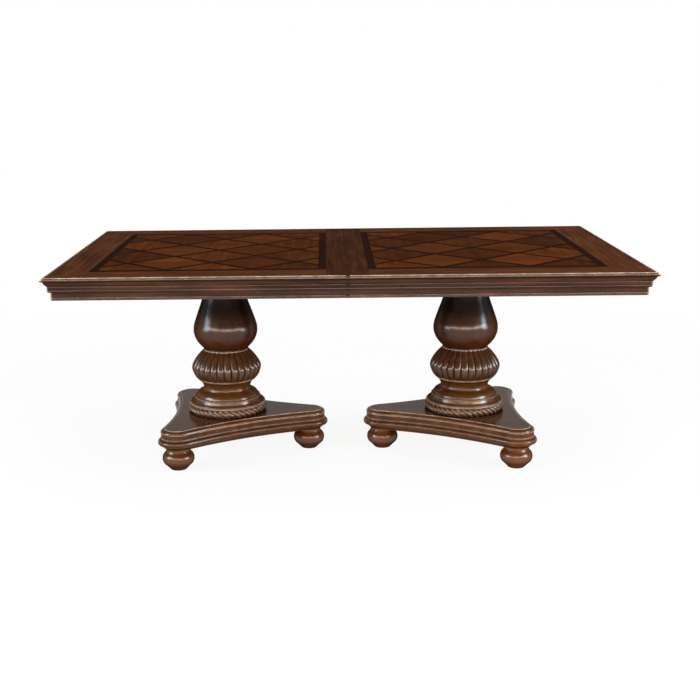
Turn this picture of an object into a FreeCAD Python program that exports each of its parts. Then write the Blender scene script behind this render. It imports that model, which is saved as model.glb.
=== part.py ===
import FreeCAD, Part
import math
import os

# Dining table with a two-part top, two turned pedestals and geared extension slides.
# Millimetres. X runs along the table, Y from front to back, Z up from the floor.
# The origin is on the floor under the middle of the closed table.

# Whole table
table_length = 2032.0
table_width = 1219.0
table_height = 782.0
seam_gap = 0.1
cut_overrun = 5.0
wood_clearance = 0.3

# Top panel and its veneers
panel_thickness = 30.2
veneer_thickness = 0.8
end_border = 138.0
side_border = 133.0
seam_border = 71.0
band_width = 28.0
strip_width = 21.0
lattice_rows = 6
lattice_lines = range(-5, 6)

# Edge moulding round the top
edge_width = 40.0
bead_lip = 12.0
lip_inset = 9.0
lip_drop = 2.5
bead_bottom = 13.0
quirk_width = 3.0
quirk_height = 2.0
cove_drop = 15.0
cove_width = 11.0
cove_middle_share = 0.42

# Apron and the moulding between it and the top
apron_inset = 27.5
apron_thickness = 22.0
apron_height = 48.0
apron_bead_height = 8.0
apron_bead_depth = 2.0
moulding_height = 19.7
moulding_reach = 8.5
moulding_fillet = 3.0
moulding_shares = [(0, 0), (0.02, 0.3), (0.06, 0.62), (0.13, 0.87), (0.42, 1)]

# Cross rail beside the seam
seam_rail_setback = 60.0
seam_rail_thickness = 20.0
seam_rail_height = 46.0
notch_clearance = 2.5

# Pedestal
pedestal_offset = 460.0
glide_height = 3.0
glide_radius = 13.0
foot_height = 81.0
foot_radius = 59.5
foot_spigot_radius = 14.0
foot_spigot_height = 30.0
spigot_clearance = 0.15
plinth_height = 76.0
plinth_inner_reach = 316.0
plinth_outer_reach = 167.0
plinth_outer_spread = 257.0
plinth_corner_radius = 63.0
plinth_waist = 34.0
plinth_cap_height = 2.0
plinth_cap_inset = 15.0
plinth_ovolo_height = 13.0
plinth_ovolo_radius = 12.0
plinth_band_inset = 1.5
plinth_fillet_height = 8.0
plinth_fillet_reach = 1.0
plinth_fillet_radius = 3.0
plinth_bead_height = 21.0
plinth_bead_reach = 10.5
plinth_round_share = 0.42
plinth_cove_height = 15.0
plinth_cove_depth = 16.0
plinth_cove_depth_share = 0.55
rope_radius = 152.0
rope_height = 30.0
rope_strands = 40
rope_strand_depth = 3.6
rope_turn = 10.0
base_radius = 147.0
base_height = 102.0
bulb_radius = 133.3
bulb_height = 112.0
reed_count = 28
reed_depth = 7.5
urn_radius = 122.4
plate_length = 300.0
plate_width = 380.0
plate_thickness = 25.0

# Steel tie rod through the pedestal
rod_radius = 6.0
rod_clearance = 0.5
washer_radius = 15.0
washer_thickness = 2.5
nut_flats = 19.0
nut_height = 10.0
rod_end = 3.0
well_radius = 18.0
well_depth = 18.0

# Extension slides
slide_offset = 250.0
rail_length = 1000.0
rail_lead = 400.0
rail_width = 24.0
rail_height = 26.0
centre_rail_width = 26.0
rail_gap = 0.4
tongue_depth = 6.0
tongue_root = 8.0
tongue_tip = 13.0
tongue_clearance = 0.3
slide_travel = 508.0

# Racks and pinions
gear_module = 3.0
pinion_teeth = 12
pressure_angle = 20.0
spare_teeth = 2
tooth_height_share = 0.7
tooth_root_share = 1.0
backlash = 0.35
rack_thickness = 5.0
rack_depth = 9.0
pinion_play = 0.2
pin_radius = 5.0
pin_clearance = 0.05
pin_shank_radius = 3.5
pin_shank_length = 18.0
pin_head_radius = 9.0
pin_head_height = 2.0

# Wood screws
screw_radius = 2.5
screw_head_radius = 5.0
screw_head_height = 3.0
screw_bite = 15.0
screw_clearance = 0.2
plate_screw_margin = 30.0
rail_screw_first = 100.0
rail_screw_last = 40.0
rail_screw_count = 3

# Seam dowels
dowel_radius = 4.0
dowel_seat = 14.0
dowel_reach = 12.0
dowel_spacing = 380.0
dowel_clearance = 0.15
dowel_tip = 2.0

# Swing-hook locks under the seam
lock_setback = 30.0
lock_plate_length = 36.0
lock_plate_width = 24.0
lock_plate_thickness = 2.0
lock_stud_radius = 3.0
lock_stud_head_radius = 5.0
lock_stud_head_height = 2.0
hook_thickness = 3.0
hook_play = 0.6
hook_width = 16.0
hook_tip_radius = 12.0
hook_clearance = 0.3
hook_tab_radius = 6.0
hook_tab_reach = 14.0

# Levels and places that follow from the sizes above
half_length = table_length / 2
half_width = table_width / 2
slide_half_width = centre_rail_width / 2 + rail_gap + rail_width
apron_inner_face = half_width - apron_inset - apron_thickness
lock_offset = (slide_offset + slide_half_width + apron_inner_face) / 2
rail_reach = rail_length - rail_lead
rail_screw_spacing = (rail_reach - rail_screw_first - rail_screw_last) / (rail_screw_count - 1)
seam_face = -seam_gap / 2
panel_top = table_height - veneer_thickness
panel_bottom = panel_top - panel_thickness
top_thickness = panel_thickness + veneer_thickness
apron_bottom = panel_bottom - apron_height
plinth_bottom = glide_height + foot_height
plinth_top = plinth_bottom + plinth_height
rope_top = plinth_top + rope_height
base_top = rope_top + base_height
bulb_top = base_top + bulb_height
plate_bottom = panel_bottom - plate_thickness
urn_height = plate_bottom - bulb_top
bore_radius = rod_radius + rod_clearance
rail_top = panel_bottom - wood_clearance
rail_bottom = rail_top - rail_height
rack_bottom = rail_bottom - rack_thickness
pitch_radius = gear_module * pinion_teeth / 2
hook_arm = lock_setback * 2
field_end = -(half_length - end_border - band_width)
field_seam = -(seam_border + band_width)
field_half_width = half_width - side_border - band_width
lattice_pitch = 2 * field_half_width / lattice_rows

up = FreeCAD.Vector(0, 0, 1)


def point(x, y, z):
    return FreeCAD.Vector(x, y, z)


def box(x_low, x_high, y_low, y_high, z_low, z_high):
    corner = point(x_low, y_low, z_low)
    return Part.makeBox(x_high - x_low, y_high - y_low, z_high - z_low, corner)


def cylinder(radius, x, y, z_low, z_high):
    return Part.makeCylinder(radius, z_high - z_low, point(x, y, z_low))


def prism(corners, z_low, z_high):
    loop = [point(x, y, z_low) for x, y in corners]
    return Part.Face(Part.makePolygon(loop + loop[:1])).extrude(up * (z_high - z_low))


def mirrored(shape):
    return shape.mirror(point(0, 0, 0), point(1, 0, 0))


def flipped(shape):
    return shape.mirror(point(0, 0, 0), point(0, 1, 0))


def group(shapes):
    return Part.Compound([solid for shape in shapes for solid in shape.Solids])


def outline(steps, place):
    """A closed wire. A step is one end point, or a list of points: two for an arc, more for a curve."""
    edges = []
    here = place(*steps[0])
    for step in steps[1:]:
        if isinstance(step, tuple):
            there = place(*step)
            edges.append(Part.makeLine(here, there))
        elif len(step) == 2:
            there = place(*step[1])
            edges.append(Part.Arc(here, place(*step[0]), there).toShape())
        else:
            there = place(*step[-1])
            curve = Part.BSplineCurve()
            curve.interpolate([here] + [place(*pair) for pair in step])
            edges.append(curve.toShape())
        here = there
    edges.append(Part.makeLine(here, place(*steps[0])))
    return Part.Wire(edges)


def turned(steps, radius, height, bottom):
    """Revolves a profile of shares of a radius and a height round the pedestal's axis."""
    loop = outline(steps, lambda r, z: point(r * radius, 0, bottom + z * height))
    return Part.Face(loop).revolve(point(0, 0, 0), up, 360)


def bored(shape, z_low, z_high):
    return shape.cut(cylinder(bore_radius, 0, 0, z_low - cut_overrun, z_high + cut_overrun))


def scalloped_ring(crest, depth, count, turn, z):
    """A closed wire of outward arcs from valley to valley."""
    def around(radius, step):
        angle = math.radians(turn + 360 * step / count)
        return point(radius * math.cos(angle), radius * math.sin(angle), z)

    edges = []
    for lobe in range(count):
        start = around(crest - depth, lobe)
        middle = around(crest, lobe + 0.5)
        end = around(crest - depth, lobe + 1)
        edges.append(Part.Arc(start, middle, end).toShape())
    return Part.Wire(edges)


def at_pedestal(shape):
    return shape.translated(point(-pedestal_offset, 0, 0))


# Top panel, seen as the left half
def edge_place_front(inset, drop):
    return point(-half_length, -half_width + inset, table_height - drop)


def edge_place_end(inset, drop):
    return point(-half_length + inset, -half_width, table_height - drop)


def mitred_runs(steps, inset_low, inset_high):
    """Front, back and end lengths of one profile of insets and drops, mitred at the outer corners."""
    left = -half_length
    front = -half_width
    low = inset_low
    high = inset_high
    z_low = apron_bottom - cut_overrun
    z_high = table_height + cut_overrun
    outer_corner = (left + low, front + low)
    inner_corner = (left + high, front + high)
    front_plan = [outer_corner, (seam_face, front + low), (seam_face, front + high), inner_corner]
    end_plan = [outer_corner, inner_corner, (left + high, -front - high), (left + low, -front - low)]
    front_run = Part.Face(outline(steps, edge_place_front)).extrude(point(half_length, 0, 0))
    end_run = Part.Face(outline(steps, edge_place_end)).extrude(point(0, table_width, 0))
    front_piece = front_run.common(prism(front_plan, z_low, z_high))
    end_piece = end_run.common(prism(end_plan, z_low, z_high))
    return front_piece, flipped(front_piece), end_piece


def edge_moulding():
    bead_radius = (bead_bottom - lip_drop) / 2
    cove_top = bead_bottom + quirk_height
    cove_start = bead_radius + quirk_width
    cove_end = cove_start + cove_width
    across = cove_width * cove_middle_share
    cove_middle = (cove_start + across, cove_top + cove_drop * (1 - cove_middle_share))
    steps = [
        (edge_width, veneer_thickness),
        (bead_lip, veneer_thickness),
        (bead_lip, 0),
        (lip_inset, 0),
        (lip_inset, lip_drop),
        (bead_radius, lip_drop),
        [(0, lip_drop + bead_radius), (bead_radius, bead_bottom)],
        (cove_start, bead_bottom),
        (cove_start, cove_top),
        [cove_middle, (cove_end, cove_top + cove_drop)],
        (cove_end, top_thickness),
        (edge_width, top_thickness),
    ]
    return group(mitred_runs(steps, 0, edge_width))


def apron_profile():
    bottom = top_thickness + apron_height
    bead_top = bottom - apron_bead_height
    bead_edge = apron_inset + apron_bead_depth
    inner = apron_inset + apron_thickness
    return [
        (apron_inset, top_thickness),
        (apron_inset, bead_top),
        (bead_edge, bead_top),
        [(apron_inset, bottom - apron_bead_height / 2), (bead_edge, bottom)],
        (inner, bottom),
        (inner, top_thickness),
    ]


def aprons():
    return mitred_runs(apron_profile(), apron_inset, apron_inset + apron_thickness)


def apron_moulding():
    """A nearly upright face that turns under in a round at its foot."""
    outer = apron_inset - moulding_reach
    curve_top = top_thickness + moulding_fillet
    curve_drop = moulding_height - moulding_fillet
    places = [
        (outer + moulding_reach * across, curve_top + curve_drop * down)
        for across, down in moulding_shares
    ]
    steps = [
        (apron_inset, top_thickness),
        (outer, top_thickness),
        places[0],
        [places[1], places[2]],
        [places[3], places[4]],
        (apron_inset, curve_top + curve_drop),
    ]
    return group(mitred_runs(steps, outer, apron_inset))


def veneer(x_low, x_high, y_low, y_high):
    return box(x_low, x_high, y_low, y_high, panel_top, table_height)


def border_veneer():
    outer_x = -half_length + bead_lip
    outer_y = -half_width + bead_lip
    inner_x = -half_length + end_border
    inner_y = -half_width + side_border
    front = [(outer_x, outer_y), (seam_face, outer_y), (seam_face, inner_y), (inner_x, inner_y)]
    end = [(outer_x, outer_y), (inner_x, inner_y), (inner_x, -inner_y), (outer_x, -outer_y)]
    front_piece = prism(front, panel_top, table_height)
    end_piece = prism(end, panel_top, table_height)
    seam_piece = veneer(-seam_border, seam_face, inner_y, -inner_y)
    return group([front_piece, flipped(front_piece), end_piece, seam_piece])


def banding():
    x_out = field_end - band_width
    x_seam = field_seam + band_width
    y_out = -field_half_width - band_width
    y_in = -field_half_width
    front = [(x_out, y_out), (x_seam, y_out), (field_seam, y_in), (field_end, y_in)]
    end = [(x_out, y_out), (field_end, y_in), (field_end, -y_in), (x_out, -y_out)]
    seam = [(x_seam, y_out), (field_seam, y_in), (field_seam, -y_in), (x_seam, -y_out)]
    front_piece = prism(front, panel_top, table_height)
    end_piece = prism(end, panel_top, table_height)
    seam_piece = prism(seam, panel_top, table_height)
    return group([front_piece, flipped(front_piece), end_piece, seam_piece])


def lattice_direction(slope):
    """Strips at 45 degrees through every second crossing, before they are trimmed to the field."""
    middle = (field_end + field_seam) / 2
    reach = 2 * field_half_width
    slant = strip_width / math.sqrt(2)
    strips = []
    for line in lattice_lines:
        x = middle + 2 * lattice_pitch * line
        corners = [
            (x - slope * reach - slant, -reach),
            (x - slope * reach + slant, -reach),
            (x + slope * reach + slant, reach),
            (x + slope * reach - slant, reach),
        ]
        strips.append(prism(corners, panel_top, table_height))
    return group(strips)


def lattice():
    """The strips and the diamonds between them. One direction runs through and the other is cut by it."""
    field = veneer(field_end, field_seam, -field_half_width, field_half_width)
    through = lattice_direction(1)
    crossing = lattice_direction(-1)
    diamonds = field.cut(through).cut(crossing)
    through_strips = field.common(through)
    crossing_strips = field.common(crossing).cut(through)
    return group([diamonds]), group([through_strips, crossing_strips])


def core_panel(screw_holes):
    y_end = half_width - edge_width
    panel = box(-half_length + edge_width, seam_face, -y_end, y_end, panel_bottom, panel_top)
    return panel.cut(screw_holes)


def seam_dowel_places():
    return [-dowel_spacing, 0, dowel_spacing]


def dowel_height():
    return panel_bottom + panel_thickness / 2


def along_x(radius, x_low, x_high, y, z):
    return Part.makeCylinder(radius, x_high - x_low, point(x_low, y, z), point(1, 0, 0))


def seam_dowels():
    dowels = []
    for y in seam_dowel_places():
        z = dowel_height()
        peg_end = seam_face + dowel_reach
        body = along_x(dowel_radius, seam_face - dowel_seat, peg_end - dowel_tip, y, z)
        tip_start = point(peg_end - dowel_tip, y, z)
        tip = Part.makeCone(dowel_radius, dowel_radius - dowel_tip / 2, dowel_tip, tip_start, point(1, 0, 0))
        dowels.append(body.fuse(tip))
    return group(dowels)


def dowel_holes():
    """Seats on the left half and sockets on the right half."""
    radius = dowel_radius + dowel_clearance
    depth = dowel_seat + seam_gap
    return group([along_x(radius, -depth, depth, y, dowel_height()) for y in seam_dowel_places()])


def seam_rail():
    x_high = seam_face - seam_rail_setback
    x_low = x_high - seam_rail_thickness
    rail_low = panel_bottom - seam_rail_height
    rail = box(x_low, x_high, -apron_inner_face, apron_inner_face, rail_low, panel_bottom)
    half_notch = slide_half_width + notch_clearance
    notch_bottom = rack_bottom - notch_clearance
    x_span = (x_low - cut_overrun, x_high + cut_overrun)
    z_span = (notch_bottom, panel_bottom + cut_overrun)
    for y in (-slide_offset, slide_offset):
        rail = rail.cut(box(*x_span, y - half_notch, y + half_notch, *z_span))
    return rail


# Screws, driven upwards from below
def screw(x, y, head_bottom, length, extra):
    start = point(x, y, head_bottom)
    head = Part.makeCone(screw_head_radius + extra, screw_radius + extra, screw_head_height, start)
    shank = cylinder(screw_radius + extra, x, y, head_bottom, head_bottom + length + extra)
    return head.fuse(shank)


def plate_screws(extra):
    x_reach = plate_length / 2 - plate_screw_margin
    y_reach = plate_width / 2 - plate_screw_margin
    length = plate_thickness + screw_bite
    return [
        screw(x - pedestal_offset, y, plate_bottom, length, extra)
        for x in (-x_reach, 0, x_reach)
        for y in (-y_reach, y_reach)
    ]


def rail_screws(side, extra):
    """Three in each rail of the half: inner rails on the left half, outer rails on the right half."""
    y_place = slide_offset + side * (centre_rail_width / 2 + rail_gap + rail_width / 2)
    length = rail_height + wood_clearance + screw_bite
    return [
        screw(-rail_screw_first - index * rail_screw_spacing, y, rail_bottom, length, extra)
        for index in range(rail_screw_count)
        for y in (-y_place, y_place)
    ]


def all_screws(side, extra):
    return group(plate_screws(extra) + rail_screws(side, extra))


# Turned pedestal, built round the Z axis and then moved to its place
# A pair of shares is one of the radius and one of the height, from the bottom up.
urn_shares = [
    (0, 0),
    (0.69, 0),
    [(0.705, 0.008), (0.695, 0.016)],
    [
        (0.745, 0.030),
        (0.824, 0.062),
        (0.90, 0.101),
        (0.952, 0.140),
        (0.986, 0.180),
        (1.0, 0.230),
        (0.980, 0.295),
        (0.935, 0.350),
        (0.87, 0.4224),
        (0.76, 0.537),
        (0.675, 0.645),
        (0.63, 0.75),
    ],
    (0.70, 0.755),
    (0.70, 0.77),
    [(0.78, 0.81), (0.70, 0.85)],
    (0.66, 0.86),
    [(0.72, 0.92), (0.82, 0.94)],
    (0.82, 1.0),
    (0, 1.0),
]


def urn():
    return at_pedestal(bored(turned(urn_shares, urn_radius, urn_height, bulb_top), bulb_top, plate_bottom))


# Each row holds shares of the bulb's height, of its radius and of the reeds' depth.
bulb_shares = [
    (0, 0.872, 0.35),
    (0.06, 0.914, 0.7),
    (0.2, 0.974, 0.95),
    (0.36, 1.0, 1.0),
    (0.54, 0.952, 1.0),
    (0.72, 0.85, 0.9),
    (0.88, 0.727, 0.75),
    (1.0, 0.648, 0.5),
]


def reeded_bulb():
    rings = []
    for height, radius, depth in bulb_shares:
        z = base_top + height * bulb_height
        rings.append(scalloped_ring(radius * bulb_radius, depth * reed_depth, reed_count, 0, z))
    return at_pedestal(bored(Part.makeLoft(rings, True), base_top, bulb_top))


base_shares = [
    (0, 0),
    (0.985, 0),
    [(1.0, 0.027), (0.975, 0.054)],
    [(0.972, 0.08), (0.945, 0.103)],
    (0.915, 0.108),
    (0.90, 0.14),
    (0.878, 0.147),
    (0.856, 0.235),
    [(0.866, 0.265), (0.848, 0.295)],
    (0.822, 0.31),
    (0.812, 0.35),
    [(0.79, 0.41), (0.725, 0.48)],
    (0.664, 0.52),
    [(0.650, 0.530), (0.636, 0.555)],
    [(0.617, 0.63), (0.633, 0.74), (0.66, 0.81), (0.705, 0.885), (0.762, 0.95), (0.79, 1.0)],
    (0, 1.0),
]


def base_turning():
    return at_pedestal(bored(turned(base_shares, base_radius, base_height, rope_top), rope_top, base_top))


# Each row holds shares of the ring's height and of its radius.
rope_shares = [(0, 0.94), (0.25, 0.985), (0.5, 1.0), (0.75, 0.985), (1.0, 0.94)]


def rope_ring():
    rings = []
    for height, radius in rope_shares:
        turn = -rope_turn * height
        z = plinth_top + height * rope_height
        rings.append(scalloped_ring(radius * rope_radius, rope_strand_depth, rope_strands, turn, z))
    return at_pedestal(bored(Part.makeLoft(rings, True), plinth_top, rope_top))


def plinth_corners():
    return [
        (plinth_inner_reach, 0),
        (-plinth_outer_reach, plinth_outer_spread),
        (-plinth_outer_reach, -plinth_outer_spread),
    ]


def plinth_loop(offset, z):
    """Three rounded corners joined by hollow sides, grown outwards by the offset."""
    corners = [point(x, y, z) for x, y in plinth_corners()]
    sides = []
    for index, start in enumerate(corners):
        end = corners[(index + 1) % 3]
        half_gap = (end - start).Length / 2
        spare = plinth_corner_radius ** 2 - plinth_waist ** 2
        radius = (half_gap ** 2 - spare) / (2 * (plinth_corner_radius - plinth_waist))
        along = (end - start).normalize()
        outward = point(along.y, -along.x, 0)
        centre = (start + end) * 0.5 + outward * (radius + plinth_waist)
        sides.append((centre, outward, radius))
    edges = []
    corner_radius = plinth_corner_radius + offset
    for index, corner in enumerate(corners):
        centre, outward, radius = sides[index]
        next_corner = corners[(index + 1) % 3]
        before = sides[index - 1][0]
        entry = corner + (before - corner).normalize() * corner_radius
        leave = corner + (centre - corner).normalize() * corner_radius
        nose = corner + point(corner.x, corner.y, 0).normalize() * corner_radius
        arrive = next_corner + (centre - next_corner).normalize() * corner_radius
        middle = centre - outward * (radius - offset)
        edges.append(Part.Arc(entry, nose, leave).toShape())
        edges.append(Part.Arc(leave, middle, arrive).toShape())
    return Part.Wire(edges)


def slab(offset, z_low, z_high):
    return Part.Face(plinth_loop(offset, z_low)).extrude(up * (z_high - z_low))


def rim_edges(shape, z):
    """The edges of the outer contour that lie at one height."""
    def spread(edge):
        return abs(edge.BoundBox.ZMin - z) + abs(edge.BoundBox.ZMax - z)

    return [edge for edge in shape.Edges if spread(edge) < wood_clearance]


def plinth():
    bead_low = plinth_bottom + plinth_cove_height
    bead_high = bead_low + plinth_bead_height
    fillet_high = bead_high + plinth_fillet_height
    cap_low = plinth_top - plinth_cap_height
    ovolo_low = cap_low - plinth_ovolo_height
    cap = slab(-plinth_cap_inset, cap_low, plinth_top)
    ovolo = slab(0, ovolo_low, cap_low)
    ovolo = ovolo.makeFillet(plinth_ovolo_radius, rim_edges(ovolo, cap_low))
    band = slab(-plinth_band_inset, fillet_high, ovolo_low)
    fillet = slab(plinth_fillet_reach, bead_high, fillet_high)
    fillet = fillet.makeFillet(plinth_fillet_radius, rim_edges(fillet, fillet_high))
    bead = slab(plinth_bead_reach, bead_low, bead_high)
    round_radius = plinth_bead_height * plinth_round_share
    bead = bead.makeFillet(round_radius, rim_edges(bead, bead_high) + rim_edges(bead, bead_low))
    cove_top = plinth_bead_reach - round_radius
    cove_middle = cove_top - plinth_cove_depth * plinth_cove_depth_share
    cove_loops = [
        plinth_loop(cove_top - plinth_cove_depth, plinth_bottom),
        plinth_loop(cove_middle, plinth_bottom + plinth_cove_height / 2),
        plinth_loop(cove_top, bead_low),
    ]
    cove = Part.makeLoft(cove_loops, True)
    stack = cap.fuse([ovolo, band, fillet, bead, cove]).removeSplitter()
    body = bored(stack, plinth_bottom, plinth_top)
    hole_low = plinth_bottom - cut_overrun
    body = body.cut(cylinder(well_radius, 0, 0, hole_low, plinth_bottom + well_depth))
    hole_radius = foot_spigot_radius + spigot_clearance
    hole_top = plinth_bottom + foot_spigot_height + spigot_clearance
    for x, y in plinth_corners():
        body = body.cut(cylinder(hole_radius, x, y, hole_low, hole_top))
    return at_pedestal(body)


foot_shares = [
    (0, 0),
    (0.50, 0),
    (0.80, 0.225),
    [(0.965, 0.38), (1.0, 0.53)],
    [(0.97, 0.66), (0.87, 0.77)],
    [(0.79, 0.84), (0.745, 0.90)],
    (0.75, 1.0),
    (0, 1.0),
]


def foot(place):
    """A bun foot with its spigot, which goes up into the plinth."""
    spigot_top = plinth_bottom + foot_spigot_height
    spigot = cylinder(foot_spigot_radius, 0, 0, plinth_bottom - cut_overrun, spigot_top)
    bun = turned(foot_shares, foot_radius, foot_height, glide_height).fuse(spigot)
    return at_pedestal(bun.translated(point(place[0], place[1], 0)))


def foot_glides():
    return at_pedestal(group([cylinder(glide_radius, x, y, 0, glide_height) for x, y in plinth_corners()]))


def mounting_plate(screw_holes):
    x = plate_length / 2
    y = plate_width / 2
    plate = bored(box(-x, x, -y, y, plate_bottom, panel_bottom), plate_bottom, panel_bottom)
    plate = plate.cut(cylinder(well_radius, 0, 0, panel_bottom - well_depth, panel_bottom + cut_overrun))
    return at_pedestal(plate).cut(screw_holes)


def hexagon_nut(z_low):
    reach = nut_flats / math.sqrt(3)
    angles = [math.radians(60 * corner) for corner in range(6)]
    corners = [(reach * math.cos(angle), reach * math.sin(angle)) for angle in angles]
    return prism(corners, z_low, z_low + nut_height)


def tie_rod():
    """The rod with a washer and a nut at each end."""
    low_seat = plinth_bottom + well_depth
    high_seat = panel_bottom - well_depth
    rod_low = low_seat - washer_thickness - nut_height - rod_end
    rod_high = high_seat + washer_thickness + nut_height + rod_end
    rod = cylinder(rod_radius, 0, 0, rod_low, rod_high)
    low_washer = cylinder(washer_radius, 0, 0, low_seat - washer_thickness, low_seat)
    high_washer = cylinder(washer_radius, 0, 0, high_seat, high_seat + washer_thickness)
    low_nut = hexagon_nut(low_seat - washer_thickness - nut_height)
    high_nut = hexagon_nut(high_seat + washer_thickness)
    rings = [piece.cut(rod) for piece in (low_washer, high_washer, low_nut, high_nut)]
    return at_pedestal(group([rod] + rings))


# Extension slides. The side rails carry tongues, and the centre rail has the grooves.
def tongue(x_low, x_high, direction, extra):
    """A dovetail from the side rail's inner face towards the slide's centre line."""
    face = direction * (centre_rail_width / 2 + rail_gap)
    middle = (rail_top + rail_bottom) / 2
    root = tongue_root / 2 + extra
    tip = tongue_tip / 2 + extra
    end = face - direction * (tongue_depth + extra)
    corners = [(face, middle - root), (end, middle - tip), (end, middle + tip), (face, middle + root)]
    loop = [point(x_low, y, z) for y, z in corners]
    return Part.Face(Part.makePolygon(loop + loop[:1])).extrude(point(x_high - x_low, 0, 0))


def side_rail(x_low, x_high, slide_y, direction, screw_holes):
    inner = direction * (centre_rail_width / 2 + rail_gap)
    outer = inner + direction * rail_width
    body = box(x_low, x_high, min(inner, outer), max(inner, outer), rail_bottom, rail_top)
    rail = body.fuse(tongue(x_low, x_high, direction, 0)).translated(point(0, slide_y, 0))
    return rail.cut(screw_holes)


def slide_rails(side, screw_holes):
    """The front and back rails of one half: inner rails on the left half, outer rails on the right half."""
    x_low = -rail_reach if side < 0 else -rail_lead
    x_high = x_low + rail_length
    front = side_rail(x_low, x_high, -slide_offset, -side, screw_holes)
    back = side_rail(x_low, x_high, slide_offset, side, screw_holes)
    return group([front, back])


def centre_rail(slide_y):
    reach = rail_length / 2
    side = centre_rail_width / 2
    rail = box(-reach, reach, -side, side, rail_bottom, rail_top)
    for direction in (-1, 1):
        rail = rail.cut(tongue(-reach - cut_overrun, reach + cut_overrun, direction, tongue_clearance))
    hole_top = rail_bottom + pin_shank_length + wood_clearance
    rail = rail.cut(cylinder(pin_shank_radius + pin_clearance, 0, 0, rail_bottom - cut_overrun, hole_top))
    return rail.translated(point(0, slide_y, 0))


def pinion_pin(slide_y):
    """A shoulder pin: shank in the centre rail, shoulder through the pinion, head below it."""
    shoulder_low = rail_bottom - rack_thickness - 2 * pinion_play
    shank = cylinder(pin_shank_radius, 0, slide_y, shoulder_low, rail_bottom + pin_shank_length)
    shoulder = cylinder(pin_radius, 0, slide_y, shoulder_low, rail_bottom)
    head = cylinder(pin_head_radius, 0, slide_y, shoulder_low - pin_head_height, shoulder_low)
    return shank.fuse([shoulder, head]).removeSplitter()


# Gearing
def involute(angle):
    return math.tan(angle) - angle


def pinion(slide_y):
    """Twelve involute teeth with one of them pointing at each rack."""
    z_low = rail_bottom - rack_thickness - pinion_play
    involute_radius = pitch_radius * math.cos(math.radians(pressure_angle))
    tip_radius = pitch_radius + tooth_height_share * gear_module
    root_radius = pitch_radius - tooth_root_share * gear_module
    thickness = math.pi * gear_module / 2 - backlash
    half_angle = thickness / 2 / pitch_radius + involute(math.radians(pressure_angle))

    def flank(radius, centre_angle, side):
        turn = half_angle - involute(math.acos(min(1, involute_radius / radius)))
        angle = centre_angle + side * turn
        return point(radius * math.cos(angle), radius * math.sin(angle), z_low)

    def rim(radius, angle):
        return point(radius * math.cos(angle), radius * math.sin(angle), z_low)

    middle_radius = (involute_radius + tip_radius) / 2
    edges = []
    for tooth in range(pinion_teeth):
        centre_angle = math.radians(90 + 360 * tooth / pinion_teeth)
        next_angle = centre_angle + 2 * math.pi / pinion_teeth
        root_start = rim(root_radius, centre_angle - half_angle)
        rise_start = flank(involute_radius, centre_angle, -1)
        rise_end = flank(tip_radius, centre_angle, -1)
        fall_start = flank(tip_radius, centre_angle, 1)
        fall_end = flank(involute_radius, centre_angle, 1)
        root_end = rim(root_radius, centre_angle + half_angle)
        next_root = rim(root_radius, next_angle - half_angle)
        valley = rim(root_radius, (centre_angle + next_angle) / 2)
        edges.append(Part.makeLine(root_start, rise_start))
        edges.append(Part.Arc(rise_start, flank(middle_radius, centre_angle, -1), rise_end).toShape())
        edges.append(Part.Arc(rise_end, rim(tip_radius, centre_angle), fall_start).toShape())
        edges.append(Part.Arc(fall_start, flank(middle_radius, centre_angle, 1), fall_end).toShape())
        edges.append(Part.makeLine(fall_end, root_end))
        edges.append(Part.Arc(root_end, valley, next_root).toShape())
    wheel = Part.Face(Part.Wire(edges)).extrude(up * rack_thickness)
    bore_top = z_low + rack_thickness + cut_overrun
    bore = cylinder(pin_radius + pin_clearance, 0, 0, z_low - cut_overrun, bore_top)
    return wheel.cut(bore).translated(point(0, slide_y, 0))


def rack(slide_y, side, lead):
    """A toothed bar under a side rail. The lead is the way it runs from the pinion at rest."""
    pitch = math.pi * gear_module
    tooth_count = math.ceil(slide_travel / 2 / pitch) + 2 * spare_teeth
    slope = math.tan(math.radians(pressure_angle))
    tip = pitch_radius - tooth_height_share * gear_module
    root = pitch_radius + tooth_root_share * gear_module
    half_pitch_width = pitch / 4 - backlash / 2
    half_tip = half_pitch_width - slope * (pitch_radius - tip)
    half_root = half_pitch_width + slope * (root - pitch_radius)
    start = -spare_teeth * pitch
    corners = [(start, root + rack_depth), (start, root)]
    for tooth in range(tooth_count):
        middle = start + (tooth + 0.5) * pitch
        corners.append((middle - half_root, root))
        corners.append((middle - half_tip, tip))
        corners.append((middle + half_tip, tip))
        corners.append((middle + half_root, root))
    end = start + tooth_count * pitch
    corners.append((end, root))
    corners.append((end, root + rack_depth))
    placed = [(lead * x, slide_y + side * y) for x, y in corners]
    return prism(placed, rack_bottom, rail_bottom)


def racks(side):
    return group([rack(-slide_offset, -side, -side), rack(slide_offset, side, -side)])


# Locks
def lock_levels():
    """Heights from the plate down: plate bottom, hook top, hook bottom, head bottom."""
    plate_low = panel_bottom - lock_plate_thickness
    hook_high = plate_low - hook_play
    hook_low = hook_high - hook_thickness
    head_low = hook_low - hook_play - lock_stud_head_height
    return plate_low, hook_high, hook_low, head_low


def lock_stud(x, y):
    """A steel plate with a headed stud, under the panel."""
    plate_low, hook_high, hook_low, head_low = lock_levels()
    length = lock_plate_length / 2
    width = lock_plate_width / 2
    plate = box(x - length, x + length, y - width, y + width, plate_low, panel_bottom)
    stud = cylinder(lock_stud_radius, x, y, head_low, plate_low)
    head = cylinder(lock_stud_head_radius, x, y, head_low, head_low + lock_stud_head_height)
    return plate.fuse([stud, head]).removeSplitter()


def lock_studs(side):
    return group([lock_stud(side * lock_setback, y) for y in (-lock_offset, lock_offset)])


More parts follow.
